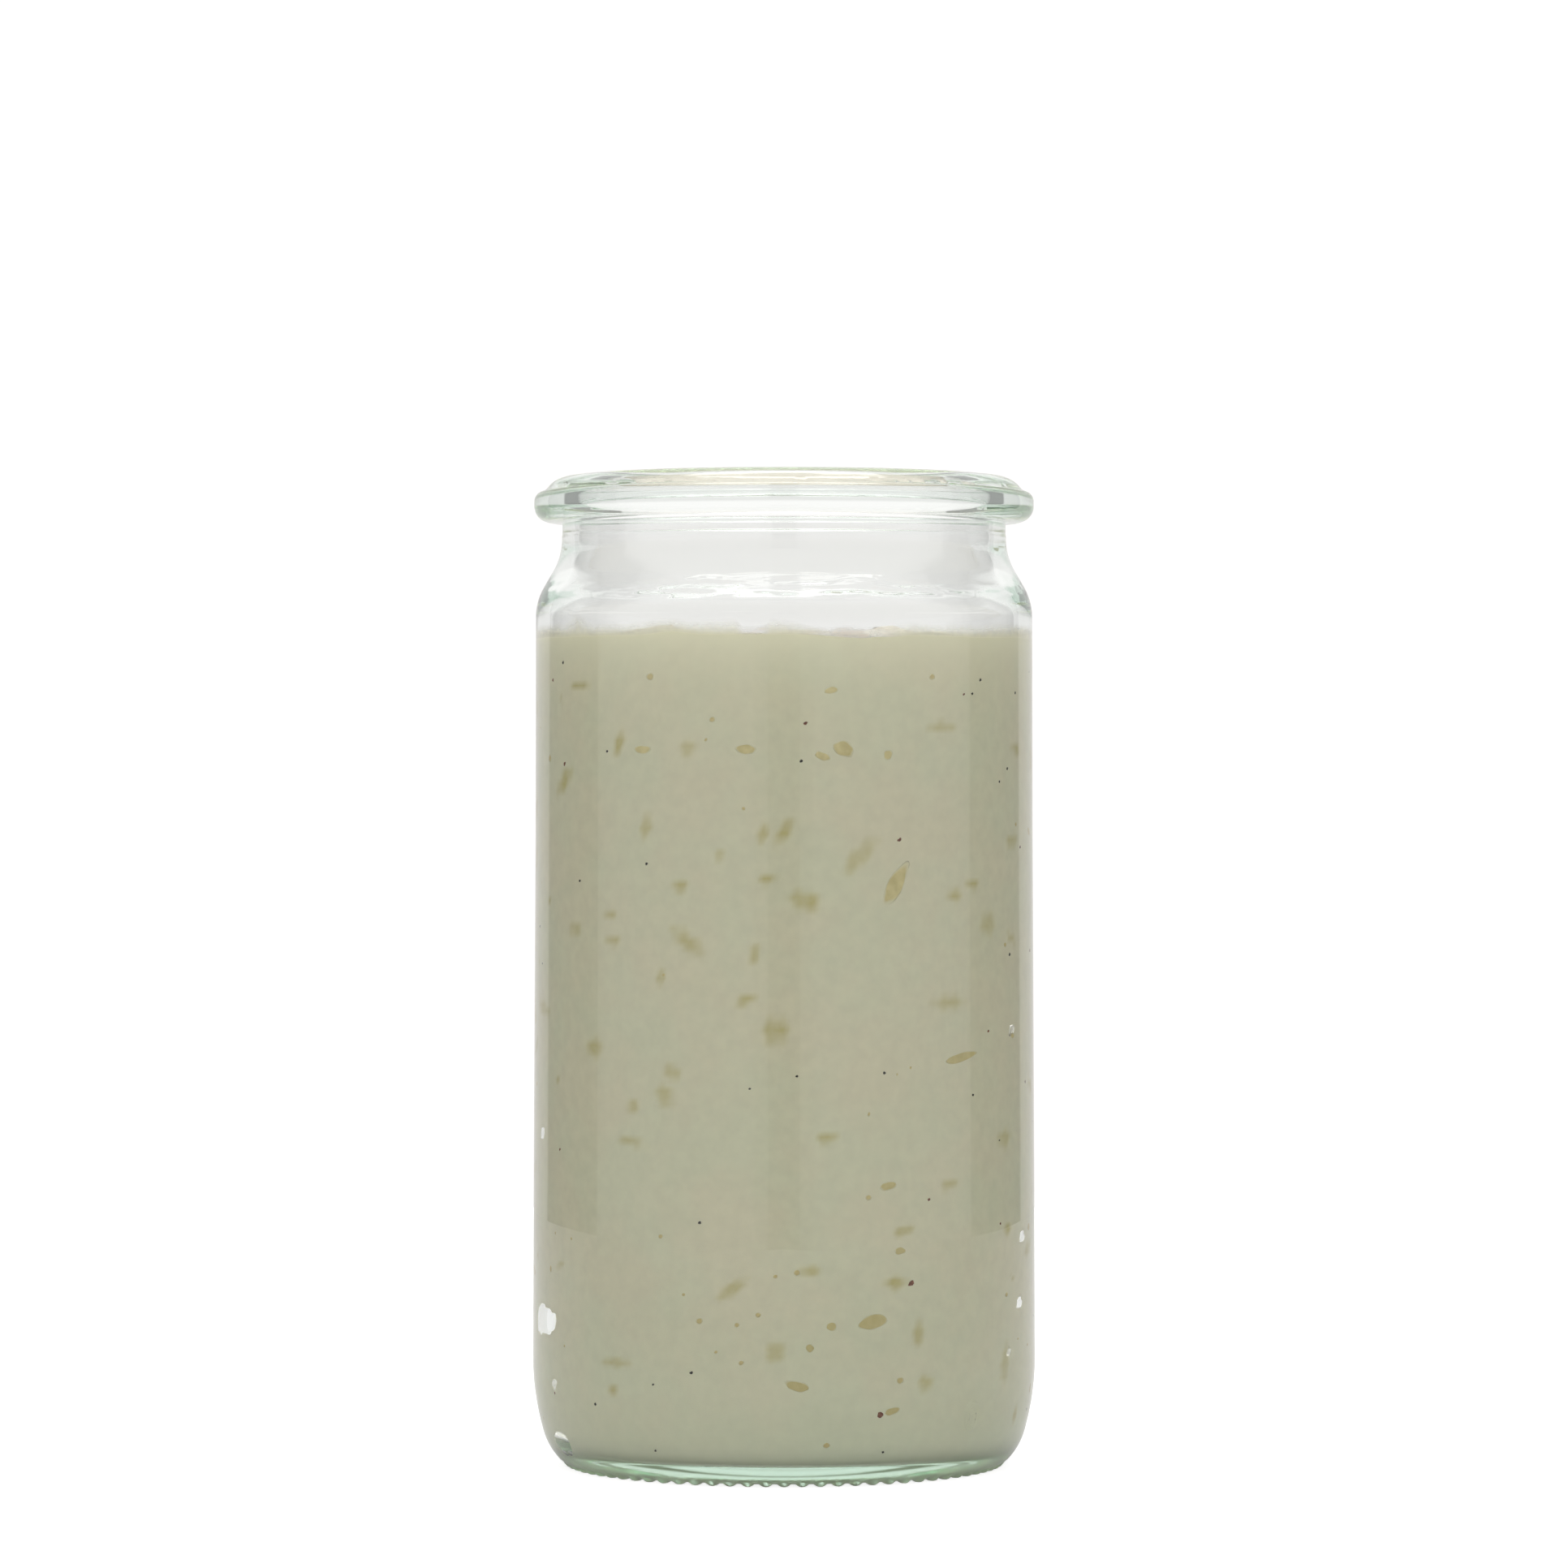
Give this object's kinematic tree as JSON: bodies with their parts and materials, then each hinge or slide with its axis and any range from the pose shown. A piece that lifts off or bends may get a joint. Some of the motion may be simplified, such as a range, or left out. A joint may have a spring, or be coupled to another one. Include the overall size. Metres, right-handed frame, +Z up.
{
  "type": "canning jar of dressing",
  "caption": "Open round-rim glass canning jar with a flanged lip and tall rounded heel, filled to below the shoulder with a pale creamy herb dressing",
  "frame": {"origin": "on the jar's axis, on the surface it stands on", "axes": "+Z up along the jar's axis, out of the mouth; -Y is the side seen from the front; +X to the right"},
  "size_m": [0.0662, 0.0662, 0.13],
  "materials": {
    "jar_glass": "clear fire-polished soda-lime glass with a faint green tint",
    "dressing": "opaque cream with a soft wet sheen, pale sage and beige, with fine flecks"
  },
  "bodies": {
    "root": {"jar_glass": "jar_glass", "dressing": "dressing"}
  },
  "joints": []
}
